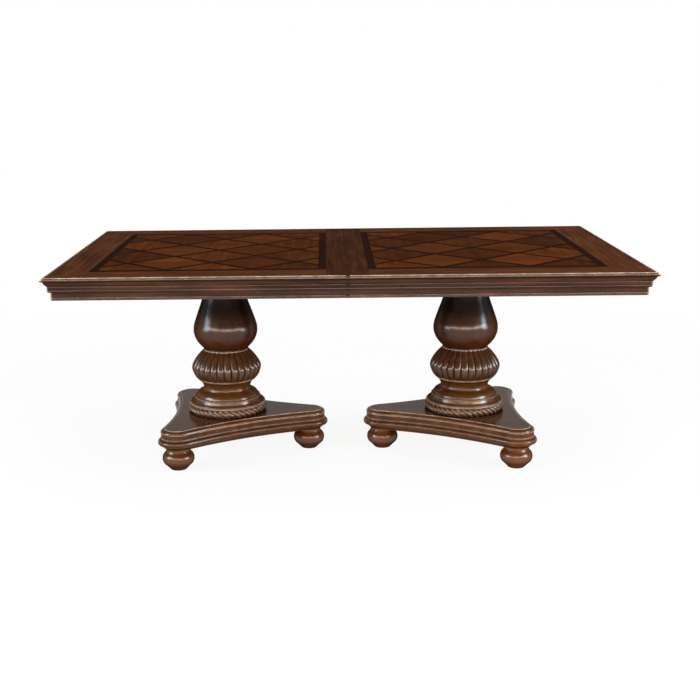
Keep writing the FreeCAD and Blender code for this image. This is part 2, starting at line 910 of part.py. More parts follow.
def lock_hook(direction):
    """Built locked, reaching from the pivot to the other half, then swung back to lie along the seam."""
    hook_high, hook_low = lock_levels()[1:3]
    slot_radius = lock_stud_radius + hook_clearance
    arm = box(0, hook_arm, -hook_width / 2, hook_width / 2, hook_low, hook_high)
    pivot_end = cylinder(hook_width / 2, 0, 0, hook_low, hook_high)
    tip = cylinder(hook_tip_radius, hook_arm, 0, hook_low, hook_high)
    tab = cylinder(hook_tab_radius, hook_arm + hook_tab_reach, 0, hook_low, hook_high)
    body = arm.fuse([pivot_end, tip, tab])
    cut_span = (hook_low - cut_overrun, hook_high + cut_overrun)
    pivot_hole = cylinder(slot_radius, 0, 0, *cut_span)
    slot_seat = cylinder(slot_radius, hook_arm, 0, *cut_span)
    slot_core = cylinder(hook_arm - slot_radius, 0, 0, *cut_span)
    slot_ring = cylinder(hook_arm + slot_radius, 0, 0, *cut_span).cut(slot_core)
    slot = slot_ring.common(box(0, 2 * hook_arm, -hook_arm, 0, *cut_span))
    hook = body.cut(pivot_hole).cut(slot_seat).cut(slot).removeSplitter()
    swung = hook.rotate(point(0, 0, 0), up, 90)
    front = swung.translated(point(-lock_setback, -lock_offset, 0))
    return front if direction < 0 else flipped(front)


def half_of_table(side, name):
    """The pieces of one half. They are laid out for the left half and mirrored for the right half."""
    lay = mirrored if side > 0 else (lambda shape: shape)
    turn_place = point(2 * pedestal_offset, 0, 0) if side > 0 else point(0, 0, 0)
    holes = all_screws(side, screw_clearance)
    front_apron, back_apron, end_apron = aprons()
    diamonds, strips = lattice()
    pieces = {
        "core_panel": lay(core_panel(holes)).cut(dowel_holes()),
        "border_veneer": lay(border_veneer()),
        "diamond_veneers": lay(diamonds),
        "dark_inlay": lay(group([banding(), strips])),
        "edge_moulding": lay(edge_moulding()),
        "front_apron": lay(front_apron),
        "back_apron": lay(back_apron),
        "end_apron": lay(end_apron),
        "apron_moulding": lay(apron_moulding()),
        "seam_rail": lay(seam_rail()),
        "mounting_plate": lay(mounting_plate(holes)),
        "tie_rod": lay(tie_rod()),
        "screws": lay(all_screws(side, 0)),
        "slide_rails": slide_rails(side, lay(holes)),
        "urn": urn().translated(turn_place),
        "reeded_bulb": reeded_bulb().translated(turn_place),
        "base_turning": base_turning().translated(turn_place),
        "rope_ring": rope_ring().translated(turn_place),
        "plinth": lay(plinth()),
        "inner_foot": lay(foot(plinth_corners()[0])),
        "back_foot": lay(foot(plinth_corners()[1])),
        "front_foot": lay(foot(plinth_corners()[2])),
        "foot_glides": lay(foot_glides()),
        "racks": racks(side),
    }
    return {name + "_" + key: shape for key, shape in pieces.items()}


def whole_table():
    pieces = half_of_table(-1, "left")
    pieces.update(half_of_table(1, "right"))
    pieces["seam_dowels"] = seam_dowels()
    pieces["front_centre_rail"] = centre_rail(-slide_offset)
    pieces["back_centre_rail"] = centre_rail(slide_offset)
    pieces["front_pinion"] = pinion(-slide_offset)
    pieces["back_pinion"] = pinion(slide_offset)
    pieces["front_pinion_pin"] = pinion_pin(-slide_offset)
    pieces["back_pinion_pin"] = pinion_pin(slide_offset)
    pieces["lock_pivots"] = lock_studs(-1)
    pieces["lock_keepers"] = lock_studs(1)
    pieces["front_lock_hook"] = lock_hook(-1)
    pieces["back_lock_hook"] = lock_hook(1)
    return pieces


os.makedirs("parts", exist_ok=True)
for node, shape in whole_table().items():
    shape.exportStep(os.path.join("parts", node + ".step"))
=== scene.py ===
import math

import bpy
from mathutils import Matrix, Vector


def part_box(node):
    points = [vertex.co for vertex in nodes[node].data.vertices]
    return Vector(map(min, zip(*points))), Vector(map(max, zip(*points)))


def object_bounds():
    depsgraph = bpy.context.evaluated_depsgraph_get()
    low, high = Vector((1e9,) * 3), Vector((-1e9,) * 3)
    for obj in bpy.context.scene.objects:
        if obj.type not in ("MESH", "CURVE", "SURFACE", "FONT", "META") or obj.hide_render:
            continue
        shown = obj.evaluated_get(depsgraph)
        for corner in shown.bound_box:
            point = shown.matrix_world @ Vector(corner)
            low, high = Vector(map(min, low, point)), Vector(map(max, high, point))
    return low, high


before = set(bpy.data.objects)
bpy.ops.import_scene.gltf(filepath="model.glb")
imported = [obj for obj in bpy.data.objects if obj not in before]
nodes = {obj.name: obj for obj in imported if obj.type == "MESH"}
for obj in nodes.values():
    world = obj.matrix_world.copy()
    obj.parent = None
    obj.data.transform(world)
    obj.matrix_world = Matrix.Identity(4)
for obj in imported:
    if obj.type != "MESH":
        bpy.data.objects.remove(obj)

cad_low, cad_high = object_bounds()

# Camera, in pixels of a 700 x 700 frame, radians and metres, with its sensor in millimetres
frame_pixels = 700
focal_pixels = 1170.7
centre_x_pixels = 300.0
centre_y_pixels = 380.0
camera_yaw = -0.02395
camera_pitch = 0.2558
camera_roll = -0.0141
camera_place = Vector((-0.071, -4.3978, 1.4227))
sensor_width = 36.0

# Places on the closed table, in metres
table_half_length, table_half_width, table_top = cad_high
field_low, field_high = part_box("left_diamond_veneers")
field_middle = -(field_low.x + field_high.x) / 2
lattice_rows = 6
lattice_pitch = (field_high.y - field_low.y) / lattice_rows
urn_low, urn_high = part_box("left_urn")
seam_border_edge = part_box("right_dark_inlay")[0].x

# Grain. Scales are per metre, lengths in metres, and a noise has its detail and roughness.
plank_scale = 60.0
turned_scale = 90.0
grain_stretch = 0.05
wander_scale = 3.0
wander_detail = 1.0
wander_reach = 0.03
noise_middle = 0.5
figure_noise = (4.0, 0.55)
fibre_noise = (2.0, 0.6)
pore_noise = (1.0, 0.5)
fibres_per_figure = 9
pores_per_figure = 22
figure_share = 0.72
tone_spread = 0.17
pore_edges = (0.3, 0.42)
pore_tones = (0.78, 1.0)
pore_depth = 0.0004
cloud_scale = 4.0
cloud_detail = 2.0
cloud_edges = (0.35, 0.65)
cloud_tones = (0.86, 1.12)
mitre_shift = 3.0

# Grain and tones of the diamonds
diamond_stretch = 0.07
diamond_figure_scale = 45.0
diamond_figure_noise = (3.0, 0.5)
diamond_fibre_scale = 520.0
diamond_pore_scale = 1300.0
diamond_figure_share = 0.6
diamond_tone_spread = 0.25
diamond_cloud_scale = 9.0
diamond_cloud_detail = 1.0
diamond_cloud_tones = (0.88, 1.12)
cell_shift = 3.0
cell_power = 1.5
cell_tone_low = 0.62
cell_tone_span = 0.8

# Roughness as shares of a finish's own, between the fibres' valleys and crests
fibre_edges = (0.3, 0.7)
valley_roughness = 1.2
crest_roughness = 0.85

# Glaze and painted shade left in recesses, and wear and painted highlight on crests, in patches
# whose scale is per metre
occlusion_samples = 8
recess_edges = (0.35, 0.95)
crest_edges = (0.5, 0.95)
patch_scale = 30.0
patch_detail = 3.0
patch_edges = (0.38, 0.62)
patch_strength = (0.6, 1.0)

# Stain beside the joint between the halves, and how far from it wear and painted highlight stop, in
# metres and shares
seam_near = 0.0004
seam_far = 0.0022
seam_tone = 0.3
seam_wear_and_highlight_clear = 0.012
seam_border_tone = 0.6
seam_border_blur = 0.001

# Bead of the edge, the painted shadow in the quirk under it and a knot, in metres and shares
bead_depth = 0.007
quirk_depth = 0.0125
quirk_shadow_core = 0.001
quirk_shadow_reach = 0.0045
quirk_shadow_tone = 0.3
knot_place = (0.182, -0.587, 0.7408)
knot_size = (0.011, 0.03, 0.0065)
knot_ring = 0.7
knot_edges = (0.12, 0.4)
knot_tone = 0.35

# Painted shade on the urn's neck, as shares of its height
neck_starts = 0.2
neck_ends = 0.55
neck_shade_tone = 0.07

# Metal and plastic, with scales per metre and the depth in metres
scratch_stretch = 0.1
scratch_noise = (2.0, 0.6)
scratch_edges = (0.3, 0.7)
scratch_roughness = (0.8, 1.25)
scratch_bump = 0.15
tarnish_scale = 60.0
tarnish_detail = 3.0
tarnish_edges = (0.4, 0.7)
tarnish_tones = (1.0, 0.72)
plastic_scale = 900.0
plastic_detail = 2.0
plastic_edges = (0.3, 0.7)
plastic_roughness = (0.45, 0.65)
plastic_bump = 0.2
scuff_scale = 45.0
scuff_detail = 3.0
scuff_edges = (0.45, 0.7)
scuff_tones = (0.85, 1.3)
fine_depth = 0.0001

# Backdrop, as the sine of the height above the horizon, and floor, in metres
backdrop_low = 0.07
backdrop_high = 0.42
backdrop_top_share = 0.22
soft_light = 0.2
floor_size = 60.0
floor_near = 1.0
floor_far = 3.5
floor_near_share = 0.9
floor_colour = (0.93, 0.92, 0.91, 1.0)
floor_roughness = 0.9
floor_level = 0.1
white = (1.0, 1.0, 1.0, 1.0)

# Lamps, in metres, with azimuths in degrees from the front to the right. A front box has its
# azimuth and radiance, and a window its azimuth, size and radiance.
table_middle = (0, 0, 0.4)
overhead_place = (0.3, 0.1, 3.6)
overhead_size = (3.0, 2.2)
overhead_radiance = 2.35
overhead_colour = (1.0, 0.95, 0.88)
front_boxes = (("left_box", -46, 11.0), ("front_box", 2, 12.0), ("right_box", 50, 13.0))
front_box_height = 1.05
front_box_distance = 2.7
front_box_target = (0, 0, 0.9)
front_box_size = (2.2, 0.38)
front_box_colour = (1.0, 0.84, 0.68)
back_box_azimuth = 180
back_box_height = 2.6
back_box_distance = 3.0
back_box_size = (3.0, 1.2)
back_box_radiance = 2.5
back_box_colour = (1.0, 0.96, 0.92)
windows = (("left_window", -72, (1.3, 2.0), 12.0), ("right_window", 68, (1.1, 2.0), 14.0))
window_height = 1.5
window_distance = 4.0
window_colour = (0.62, 0.80, 1.0)


class Web:
    """The nodes of one material or world, with short calls for the ones used here."""

    def __init__(self, owner):
        owner.use_nodes = True
        self.tree = owner.node_tree

    def add(self, kind, inputs=None, **settings):
        node = self.tree.nodes.new(kind)
        for key, value in settings.items():
            setattr(node, key, value)
        for key, value in (inputs or {}).items():
            self.feed(node.inputs[key], value)
        return node

    def feed(self, socket, value):
        if isinstance(value, bpy.types.NodeSocket):
            self.tree.links.new(value, socket)
        else:
            socket.default_value = value

    def math(self, operation, *values):
        node = self.add("ShaderNodeMath", operation=operation)
        for socket, value in zip(node.inputs, values):
            self.feed(socket, value)
        return node.outputs[0]

    def vector(self, operation, *values):
        node = self.add("ShaderNodeVectorMath", operation=operation)
        for socket, value in zip(node.inputs, values):
            self.feed(socket, value)
        return node.outputs[0]

    def scale(self, vector, factor):
        inputs = {"Vector": vector, "Scale": factor}
        return self.add("ShaderNodeVectorMath", inputs, operation="SCALE").outputs[0]

    def length(self, vector):
        return self.add("ShaderNodeVectorMath", {0: vector}, operation="LENGTH").outputs["Value"]

    def weigh(self, first, second, share):
        """A share of the first number and the rest of the second."""
        first_part = self.math("MULTIPLY", first, share)
        return self.math("ADD", first_part, self.math("MULTIPLY", second, 1 - share))

    def noise(self, place, scale, detail, roughness=0.5):
        inputs = {"Vector": place, "Scale": scale, "Detail": detail, "Roughness": roughness}
        return self.add("ShaderNodeTexNoise", inputs).outputs[0]

    def steps(self, value, low, high, low_out, high_out):
        """A smooth step from one output to the other between two values."""
        inputs = {0: value, 1: low, 2: high, 3: low_out, 4: high_out}
        return self.add("ShaderNodeMapRange", inputs, interpolation_type="SMOOTHSTEP").outputs[0]

    def choose(self, factor, first, second):
        """The first vector at factor 0 and the second at 1."""
        node = self.add("ShaderNodeMix", data_type="VECTOR")
        self.feed(node.inputs[0], factor)
        self.feed(node.inputs[4], first)
        self.feed(node.inputs[5], second)
        return node.outputs[1]

    def ramp(self, value, tones, spread):
        """Three screen colours, from dark to light, spread round the middle of a noise."""
        node = self.add("ShaderNodeValToRGB", {0: value})
        elements = node.color_ramp.elements
        elements.new(noise_middle)
        places = (noise_middle - spread, noise_middle, noise_middle + spread)
        for element, place, tone in zip(elements, places, tones):
            element.position = place
            element.color = linear(*tone)
        return node.outputs[0]

    def bump(self, strength, depth, height):
        inputs = {"Strength": strength, "Distance": depth, "Height": height}
        return self.add("ShaderNodeBump", inputs).outputs[0]

    def place(self):
        return self.add("ShaderNodeTexCoord").outputs["Object"]

    def normal(self):
        return self.add("ShaderNodeTexCoord").outputs["Normal"]

    def parts(self, vector):
        return self.add("ShaderNodeSeparateXYZ", {0: vector}).outputs

    def join(self, x, y, z):
        return self.add("ShaderNodeCombineXYZ", {0: x, 1: y, 2: z}).outputs[0]


def linear(red, green, blue):
    """A colour given in 0 to 255 screen values, by the sRGB curve."""
    def straight(value):
        share = value / 255
        return share / 12.92 if share <= 0.04045 else ((share + 0.055) / 1.055) ** 2.4
    return (straight(red), straight(green), straight(blue), 1.0)


def new_material(name):
    material = bpy.data.materials.new(name)
    web = Web(material)
    return material, web, material.node_tree.nodes["Principled BSDF"]


def dress(material, *names):
    for name in names:
        slots = nodes[name].data.materials
        slots.clear()
        slots.append(material)


def both(*names):
    return [side + name for side in ("left_", "right_") for name in names]


# Where the grain runs. Each gives coordinates whose X lies along the grain.
def grain_along_x(web, place):
    return place


def grain_along_y(web, place):
    x, y, z = web.parts(place)
    return web.join(y, x, z)


def grain_along_z(web, place):
    x, y, z = web.parts(place)
    return web.join(z, x, y)


def grain_round_the_table(web, place):
    """Along the front, back and ends of the top, changing at the mitres."""
    x, y, z = web.parts(place)
    end_gap = web.math("SUBTRACT", table_half_length, web.math("ABSOLUTE", x))
    side_gap = web.math("SUBTRACT", table_half_width, web.math("ABSOLUTE", y))
    on_end = web.math("LESS_THAN", end_gap, side_gap)
    shift = web.math("MULTIPLY", on_end, mitre_shift)
    end_place = web.join(y, web.math("ADD", x, shift), z)
    return web.choose(on_end, place, end_place)


def grain_round_the_border(web, place):
    """As round the table, and along the joint beside it."""
    x, y, z = web.parts(place)
    on_seam = web.math("LESS_THAN", web.math("ABSOLUTE", x), seam_border_edge)
    return web.choose(on_seam, grain_round_the_table(web, place), web.join(y, x, z))


# Tone changes and painted shade, glaze with painted shade, and wear with painted highlight. Each
# changes the colour of a wood.
def darken_seam(web, colour, place):
    """Stain gathered beside the joint between the two halves."""
    from_joint = web.math("ABSOLUTE", web.parts(place)[0])
    return web.scale(colour, web.steps(from_joint, seam_near, seam_far, seam_tone, 1.0))


def darker_seam_border(web, colour, place):
    """The strip of border beside the joint is cut from a darker leaf."""
    from_joint = web.math("ABSOLUTE", web.parts(place)[0])
    low = seam_border_edge - seam_border_blur
    high = seam_border_edge + seam_border_blur
    return web.scale(colour, web.steps(from_joint, low, high, seam_border_tone, 1.0))


def painted_quirk_shadow(web, colour, place):
    """A painted shadow line under the bead of the edge."""
    z = web.parts(place)[2]
    off_quirk = web.math("ABSOLUTE", web.math("SUBTRACT", z, table_top - quirk_depth))
    return web.scale(colour, web.steps(off_quirk, quirk_shadow_core, quirk_shadow_reach, quirk_shadow_tone, 1.0))


def small_knot(web, colour, place):
    """One small knot in the front of the right half, a dark ring round a lighter heart."""
    offset = web.vector("SUBTRACT", place, knot_place)
    from_heart = web.length(web.vector("DIVIDE", offset, knot_size))
    off_ring = web.math("ABSOLUTE", web.math("SUBTRACT", from_heart, knot_ring))
    return web.scale(colour, web.steps(off_ring, *knot_edges, knot_tone, 1.0))


def painted_neck_shade(web, colour, place):
    """Painted shade that darkens the urn from the belly up to the neck."""
    z = web.parts(place)[2]
    span = urn_high.z - urn_low.z
    low = urn_low.z + span * neck_starts
    high = urn_low.z + span * neck_ends
    return web.scale(colour, web.steps(z, low, high, 1.0, neck_shade_tone))


def glaze(web, colour, darkest, reach):
    """Darker stain and painted shade in the recesses, as on an antiqued finish."""
    inputs = {"Distance": reach}
    recess = web.add("ShaderNodeAmbientOcclusion", inputs, samples=occlusion_samples)
    return web.scale(colour, web.steps(recess.outputs["AO"], *recess_edges, darkest, 1.0))


def rub(web, colour, place, share, reach, low=0.0):
    """Stain rubbed thin and a painted highlight on edges, beads and crests above a height, in
    patches, not at the joint.
    """
    settings = {"samples": occlusion_samples, "inside": True, "only_local": True}
    thin = web.add("ShaderNodeAmbientOcclusion", {"Distance": reach}, **settings)
    crest = web.steps(thin.outputs["AO"], *crest_edges, 1.0, 0.0)
    patch = web.steps(web.noise(place, patch_scale, patch_detail), *patch_edges, *patch_strength)
    x, y, z = web.parts(place)
    above = web.math("GREATER_THAN", z, low)
    from_joint = web.math("ABSOLUTE", x)
    off_joint = web.steps(from_joint, seam_far, seam_wear_and_highlight_clear, 0.0, share)
    worn_and_lit = web.math("MULTIPLY", crest, patch)
    worn_and_lit = web.math("MULTIPLY", worn_and_lit, web.math("MULTIPLY", above, off_joint))
    return web.choose(worn_and_lit, colour, worn_and_highlight_tone)


def wood_colour(web, place, grain_place, tones, scale, contrast):
    """Streaks along the grain with fine fibres and pores."""
    inputs = {"Vector": grain_place, "Scale": wander_scale, "Detail": wander_detail}
    wander = web.add("ShaderNodeTexNoise", inputs).outputs[1]
    wander = web.vector("SUBTRACT", wander, (noise_middle, noise_middle, noise_middle))
    bent = web.vector("ADD", grain_place, web.scale(wander, wander_reach))
    drawn = web.vector("MULTIPLY", bent, (grain_stretch, 1, 1))
    figure = web.noise(drawn, scale, *figure_noise)
    fibre = web.noise(drawn, scale * fibres_per_figure, *fibre_noise)
    pores = web.noise(drawn, scale * pores_per_figure, *pore_noise)
    mixed = web.weigh(figure, fibre, figure_share)
    colour = web.ramp(mixed, tones, tone_spread / contrast)
    colour = web.scale(colour, web.steps(pores, *pore_edges, *pore_tones))
    cloud = web.noise(place, cloud_scale, cloud_detail)
    return web.scale(colour, web.steps(cloud, *cloud_edges, *cloud_tones)), fibre, pores


def polish(web, shader, fibre, pores, shine):
    """Lacquer over stained wood. It is fullest face on, and weaker at a slant and facing down."""
    facing = web.add("ShaderNodeLayerWeight").outputs["Facing"]
    upward = web.parts(web.normal())[2]
    kept = web.steps(upward, *shine["rise"], shine["under"], 1.0)
    glosses = (("Coat Weight", shine["coat"]), ("Specular IOR Level", shine["level"]))
    for name, (front, side) in glosses:
        if front == side:
            shader.inputs[name].default_value = front
        else:
            gloss = web.steps(facing, *shine["turn"], front, side)
            web.feed(shader.inputs[name], web.math("MULTIPLY", gloss, kept))
    shader.inputs["Coat Roughness"].default_value = shine["coat_roughness"]
    shader.inputs["Specular Tint"].default_value = shine["tint"]
    valley = shine["roughness"] * valley_roughness
    crest = shine["roughness"] * crest_roughness
    web.feed(shader.inputs["Roughness"], web.steps(fibre, *fibre_edges, valley, crest))
    web.feed(shader.inputs["Normal"], web.bump(shine["bump"], pore_depth, pores))


def wood(
    name, tones, grain, shine, scale=plank_scale, contrast=1.0,
    shade=None, glazed=None, rubbed=None, seam=False,
):
    """A stained wood: its streaks, any shade, glaze with painted shade, wear with painted
    highlight, then its lacquer.
    """
    material, web, shader = new_material(name)
    place = web.place()
    grain_place = grain(web, place)
    colour, fibre, pores = wood_colour(web, place, grain_place, tones, scale, contrast)
    if shade:
        colour = shade(web, colour, place)
    if glazed:
        colour = glaze(web, colour, **glazed)
    if rubbed:
        colour = rub(web, colour, place, **rubbed)
    if seam:
        colour = darken_seam(web, colour, place)
    web.feed(shader.inputs["Base Color"], colour)
    polish(web, shader, fibre, pores, shine)
    return material


def turned_wood(name, tones, grain, shine, contrast=0.6, **finish):
    """The wood of the turned pieces, with finer and fainter streaks."""
    return wood(name, tones, grain, shine, scale=turned_scale, contrast=contrast, **finish)


def diamond_wood(name):
    """Every diamond has its own tone, and its grain runs across or along by turns."""
    material, web, shader = new_material(name)
    place = web.place()
    x, y, z = web.parts(place)
    side = web.math("SIGN", x)
    local = web.math("SUBTRACT", x, web.math("MULTIPLY", side, field_middle))
    diagonal = 2 * lattice_pitch
    first = web.math("FLOOR", web.math("DIVIDE", web.math("SUBTRACT", local, y), diagonal))
    second = web.math("FLOOR", web.math("DIVIDE", web.math("ADD", local, y), diagonal))
    cell = web.join(first, second, side)
    chance = web.add("ShaderNodeTexWhiteNoise", {"Vector": cell}, noise_dimensions="3D")
    parity = web.math("FLOORED_MODULO", web.math("ADD", first, second), 2.0)
    grain_place = web.choose(parity, place, web.join(y, x, z))
    shift = web.scale(chance.outputs["Color"], cell_shift)
    grain_place = web.vector("ADD", grain_place, shift)
    drawn = web.vector("MULTIPLY", grain_place, (diamond_stretch, 1, 1))
    figure = web.noise(drawn, diamond_figure_scale, *diamond_figure_noise)
    fibre = web.noise(drawn, diamond_fibre_scale, *fibre_noise)
    pores = web.noise(drawn, diamond_pore_scale, *pore_noise)
    mixed = web.weigh(figure, fibre, diamond_figure_share)
    colour = web.ramp(mixed, diamond_tones, diamond_tone_spread)
    cloud = web.noise(place, diamond_cloud_scale, diamond_cloud_detail)
    colour = web.scale(colour, web.steps(cloud, *cloud_edges, *diamond_cloud_tones))
    own = web.math("POWER", chance.outputs["Value"], cell_power)
    own = web.math("ADD", web.math("MULTIPLY", own, cell_tone_span), cell_tone_low)
    web.feed(shader.inputs["Base Color"], web.scale(colour, own))
    polish(web, shader, fibre, pores, top_polish)
    return material


def brushed_metal(name, colour, roughness, scale):
    """Fine scratches and faint tarnish."""
    material, web, shader = new_material(name)
    place = web.place()
    drawn = web.vector("MULTIPLY", place, (scratch_stretch, 1, 1))
    scratch = web.noise(drawn, scale, *scratch_noise)
    tarnish = web.noise(place, tarnish_scale, tarnish_detail)
    tarnish = web.steps(tarnish, *tarnish_edges, *tarnish_tones)
    web.feed(shader.inputs["Base Color"], web.scale(linear(*colour)[:3], tarnish))
    shader.inputs["Metallic"].default_value = 1.0
    smooth, rough = [roughness * share for share in scratch_roughness]
    web.feed(shader.inputs["Roughness"], web.steps(scratch, *scratch_edges, smooth, rough))
    web.feed(shader.inputs["Normal"], web.bump(scratch_bump, fine_depth, scratch))
    return material


def moulded_plastic(name, colour):
    """A dull plastic with a fine grain and scuffs."""
    material, web, shader = new_material(name)
    place = web.place()
    grain = web.noise(place, plastic_scale, plastic_detail)
    scuff = web.noise(place, scuff_scale, scuff_detail)
    scuff = web.steps(scuff, *scuff_edges, *scuff_tones)
    web.feed(shader.inputs["Base Color"], web.scale(linear(*colour)[:3], scuff))
    roughness = web.steps(grain, *plastic_edges, *plastic_roughness)
    web.feed(shader.inputs["Roughness"], roughness)
    web.feed(shader.inputs["Normal"], web.bump(plastic_bump, fine_depth, grain))
    return material


def area_lamp(name, place, target, size, radiance, colour):
    width, height = size
    data = bpy.data.lights.new(name, "AREA")
    data.shape = "RECTANGLE"
    data.size = width
    data.size_y = height
    data.energy = radiance * math.pi * width * height
    data.color = colour
    lamp = bpy.data.objects.new(name, data)
    lamp.location = place
    lamp.rotation_mode = "QUATERNION"
    lamp.rotation_quaternion = (Vector(target) - Vector(place)).to_track_quat("-Z", "Y")
    lamp.visible_camera = False
    bpy.context.scene.collection.objects.link(lamp)


def lamp_place(azimuth, height, distance):
    """A place round the table's middle."""
    turn = math.radians(azimuth)
    return (distance * math.sin(turn), -distance * math.cos(turn), height)


def make_lamps():
    """A soft overhead lamp, low boxes in front, a box behind and a window on each side."""
    area_lamp(
        "overhead", overhead_place, table_middle, overhead_size, overhead_radiance,
        overhead_colour,
    )
    for name, azimuth, radiance in front_boxes:
        place = lamp_place(azimuth, front_box_height, front_box_distance)
        area_lamp(name, place, front_box_target, front_box_size, radiance, front_box_colour)
    place = lamp_place(back_box_azimuth, back_box_height, back_box_distance)
    area_lamp("back_box", place, table_middle, back_box_size, back_box_radiance, back_box_colour)
    for name, azimuth, size, radiance in windows:
        place = lamp_place(azimuth, window_height, window_distance)
        area_lamp(name, place, table_middle, size, radiance, window_colour)


def make_camera():
    forward = Vector((
        math.sin(camera_yaw) * math.cos(camera_pitch),
        math.cos(camera_yaw) * math.cos(camera_pitch),
        -math.sin(camera_pitch),
    ))
    level = Vector((math.cos(camera_yaw), -math.sin(camera_yaw), 0))
    rise = level.cross(forward)
    right = math.cos(camera_roll) * level + math.sin(camera_roll) * rise
    up = -math.sin(camera_roll) * level + math.cos(camera_roll) * rise
    data = bpy.data.cameras.new("camera")
    data.sensor_width = sensor_width
    data.lens = focal_pixels / frame_pixels * sensor_width
    data.shift_x = (frame_pixels / 2 - centre_x_pixels) / frame_pixels
    data.shift_y = (centre_y_pixels - frame_pixels / 2) / frame_pixels
    camera = bpy.data.objects.new("camera", data)
    turn = Matrix((right, up, -forward)).transposed().to_4x4()
    camera.matrix_world = Matrix.Translation(camera_place) @ turn
    bpy.context.scene.collection.objects.link(camera)
    bpy.context.scene.camera = camera


def seen_directly(web):
    """1 where a surface is seen by the camera or in gloss, 0 where it lights something."""
    path = web.add("ShaderNodeLightPath").outputs
    direct = web.math("MAXIMUM", path["Is Camera Ray"], path["Is Glossy Ray"])
    return web.math("MAXIMUM", direct, path["Is Transmission Ray"])


def make_world():
    """A white backdrop that darkens upwards, and a weak even light."""
    world = bpy.data.worlds.new("studio")
    bpy.context.scene.world = world
    web = Web(world)
    web.tree.nodes.clear()
    direction = web.add("ShaderNodeTexCoord").outputs["Generated"]
    height = web.parts(direction)[2]
    backdrop = web.steps(height, backdrop_low, backdrop_high, 1.0, backdrop_top_share)
    seen = web.add("ShaderNodeBackground", {"Color": backdrop, "Strength": 1.0})
    light = web.add("ShaderNodeBackground", {"Color": white, "Strength": soft_light})
    inputs = {0: seen_directly(web), 1: light.outputs[0], 2: seen.outputs[0]}
    mix = web.add("ShaderNodeMixShader", inputs)
    web.add("ShaderNodeOutputWorld", {0: mix.outputs[0]})


def make_floor():
    """A pale floor that shows the table's shadow and fades to white further out."""
    size = floor_size
    corners = [(-size, -size, 0), (size, -size, 0), (size, size, 0), (-size, size, 0)]
    mesh = bpy.data.meshes.new("floor")
    mesh.from_pydata(corners, [], [(0, 1, 2, 3)])
    floor = bpy.data.objects.new("floor", mesh)
    bpy.context.scene.collection.objects.link(floor)
    material, web, shader = new_material("pale_floor")
    shader.inputs["Roughness"].default_value = floor_roughness
    shader.inputs["Specular IOR Level"].default_value = floor_level
    shader.inputs["Base Color"].default_value = floor_colour
    glow = web.add("ShaderNodeEmission", {"Color": white, "Strength": 1.0})
    distance = web.length(web.place())
    far = web.steps(distance, floor_near, floor_far, floor_near_share, 1.0)
    share = web.math("MULTIPLY", far, seen_directly(web))
    mix = web.add("ShaderNodeMixShader", {0: share, 1: shader.outputs[0], 2: glow.outputs[0]})
    web.feed(web.tree.nodes["Material Output"].inputs["Surface"], mix.outputs[0])
    floor.data.materials.append(material)


# Finishes. The coat and the level each have a value seen face on and one seen at a slant, and
# change between the two shares of turn. Both fade where the wood faces down: only the share
# called under is left where the normal's height is below the first value of rise.
lacquer = {
    "coat": (1.0, 0.05), "level": (0.2, 0.0), "turn": (0.1, 0.65), "coat_roughness": 0.2,
    "tint": (1.0, 0.66, 0.46, 1.0), "roughness": 0.36, "bump": 0.03,
    "rise": (-0.65, -0.05), "under": 0.2,
}
top_polish = {
    "coat": (0.5, 0.015), "level": (0.0, 0.0), "turn": (0.35, 0.7), "coat_roughness": 0.16,
    "tint": (1.0, 0.8, 0.65, 1.0), "roughness": 0.3, "bump": 0.1,
    "rise": (-0.65, -0.05), "under": 1.0,
}
bare = {
    "coat": (0.0, 0.0), "level": (0.35, 0.2), "turn": (0.3, 0.9), "coat_roughness": 0.3,
    "tint": (1.0, 1.0, 1.0, 1.0), "roughness": 0.55, "bump": 0.3,
    "rise": (-0.65, -0.05), "under": 1.0,
}
edge_polish = dict(
    lacquer, coat=(0.9, 0.04), level=(0.0, 0.0), bump=0.08, rise=(-0.05, 0.15), under=0.28,
)
board_polish = dict(
    lacquer, coat=(1.0, 0.6), level=(0.1, 0.0), coat_roughness=0.16, rise=(-0.1, 0.25),
)
urn_polish = dict(lacquer, coat=(0.85, 0.03), level=(0.0, 0.0))
foot_polish = dict(lacquer, coat=(0.55, 0.02), level=(0.7, 0.0), roughness=0.3)

# Tones of the woods, as screen colours from dark to light
brown = ((32, 18, 12), (51, 31, 21), (70, 44, 31))
border_tones = ((59, 30, 14), (80, 45, 25), (99, 59, 33))
diamond_tones = ((62, 26, 7), (78, 38, 10), (98, 54, 15))
core_tones = ((70, 48, 32), (96, 68, 46), (120, 88, 60))
dark_tones = ((22, 7, 2), (34, 13, 4), (48, 23, 9))
reed_tones = ((41, 20, 7), (62, 34, 13), (85, 51, 22))
turned_tones = ((50, 26, 8), (74, 42, 14), (98, 60, 24))
urn_tones = ((42, 20, 9), (56, 28, 12), (70, 38, 18))
board_tones = ((50, 26, 11), (74, 41, 19), (99, 60, 30))
foot_tones = ((54, 24, 6), (77, 39, 11), (98, 55, 18))
slide_tones = ((150, 118, 80), (180, 146, 104), (204, 172, 130))
# Pale tone of worn edges and of painted highlights on beads, rims and crests
worn_and_highlight_tone = linear(206, 180, 160)[:3]

# Colours of the metals and the plastic, as screen values
steel_colour = (186, 186, 188)
brass_colour = (214, 178, 108)
nylon_colour = (52, 42, 36)

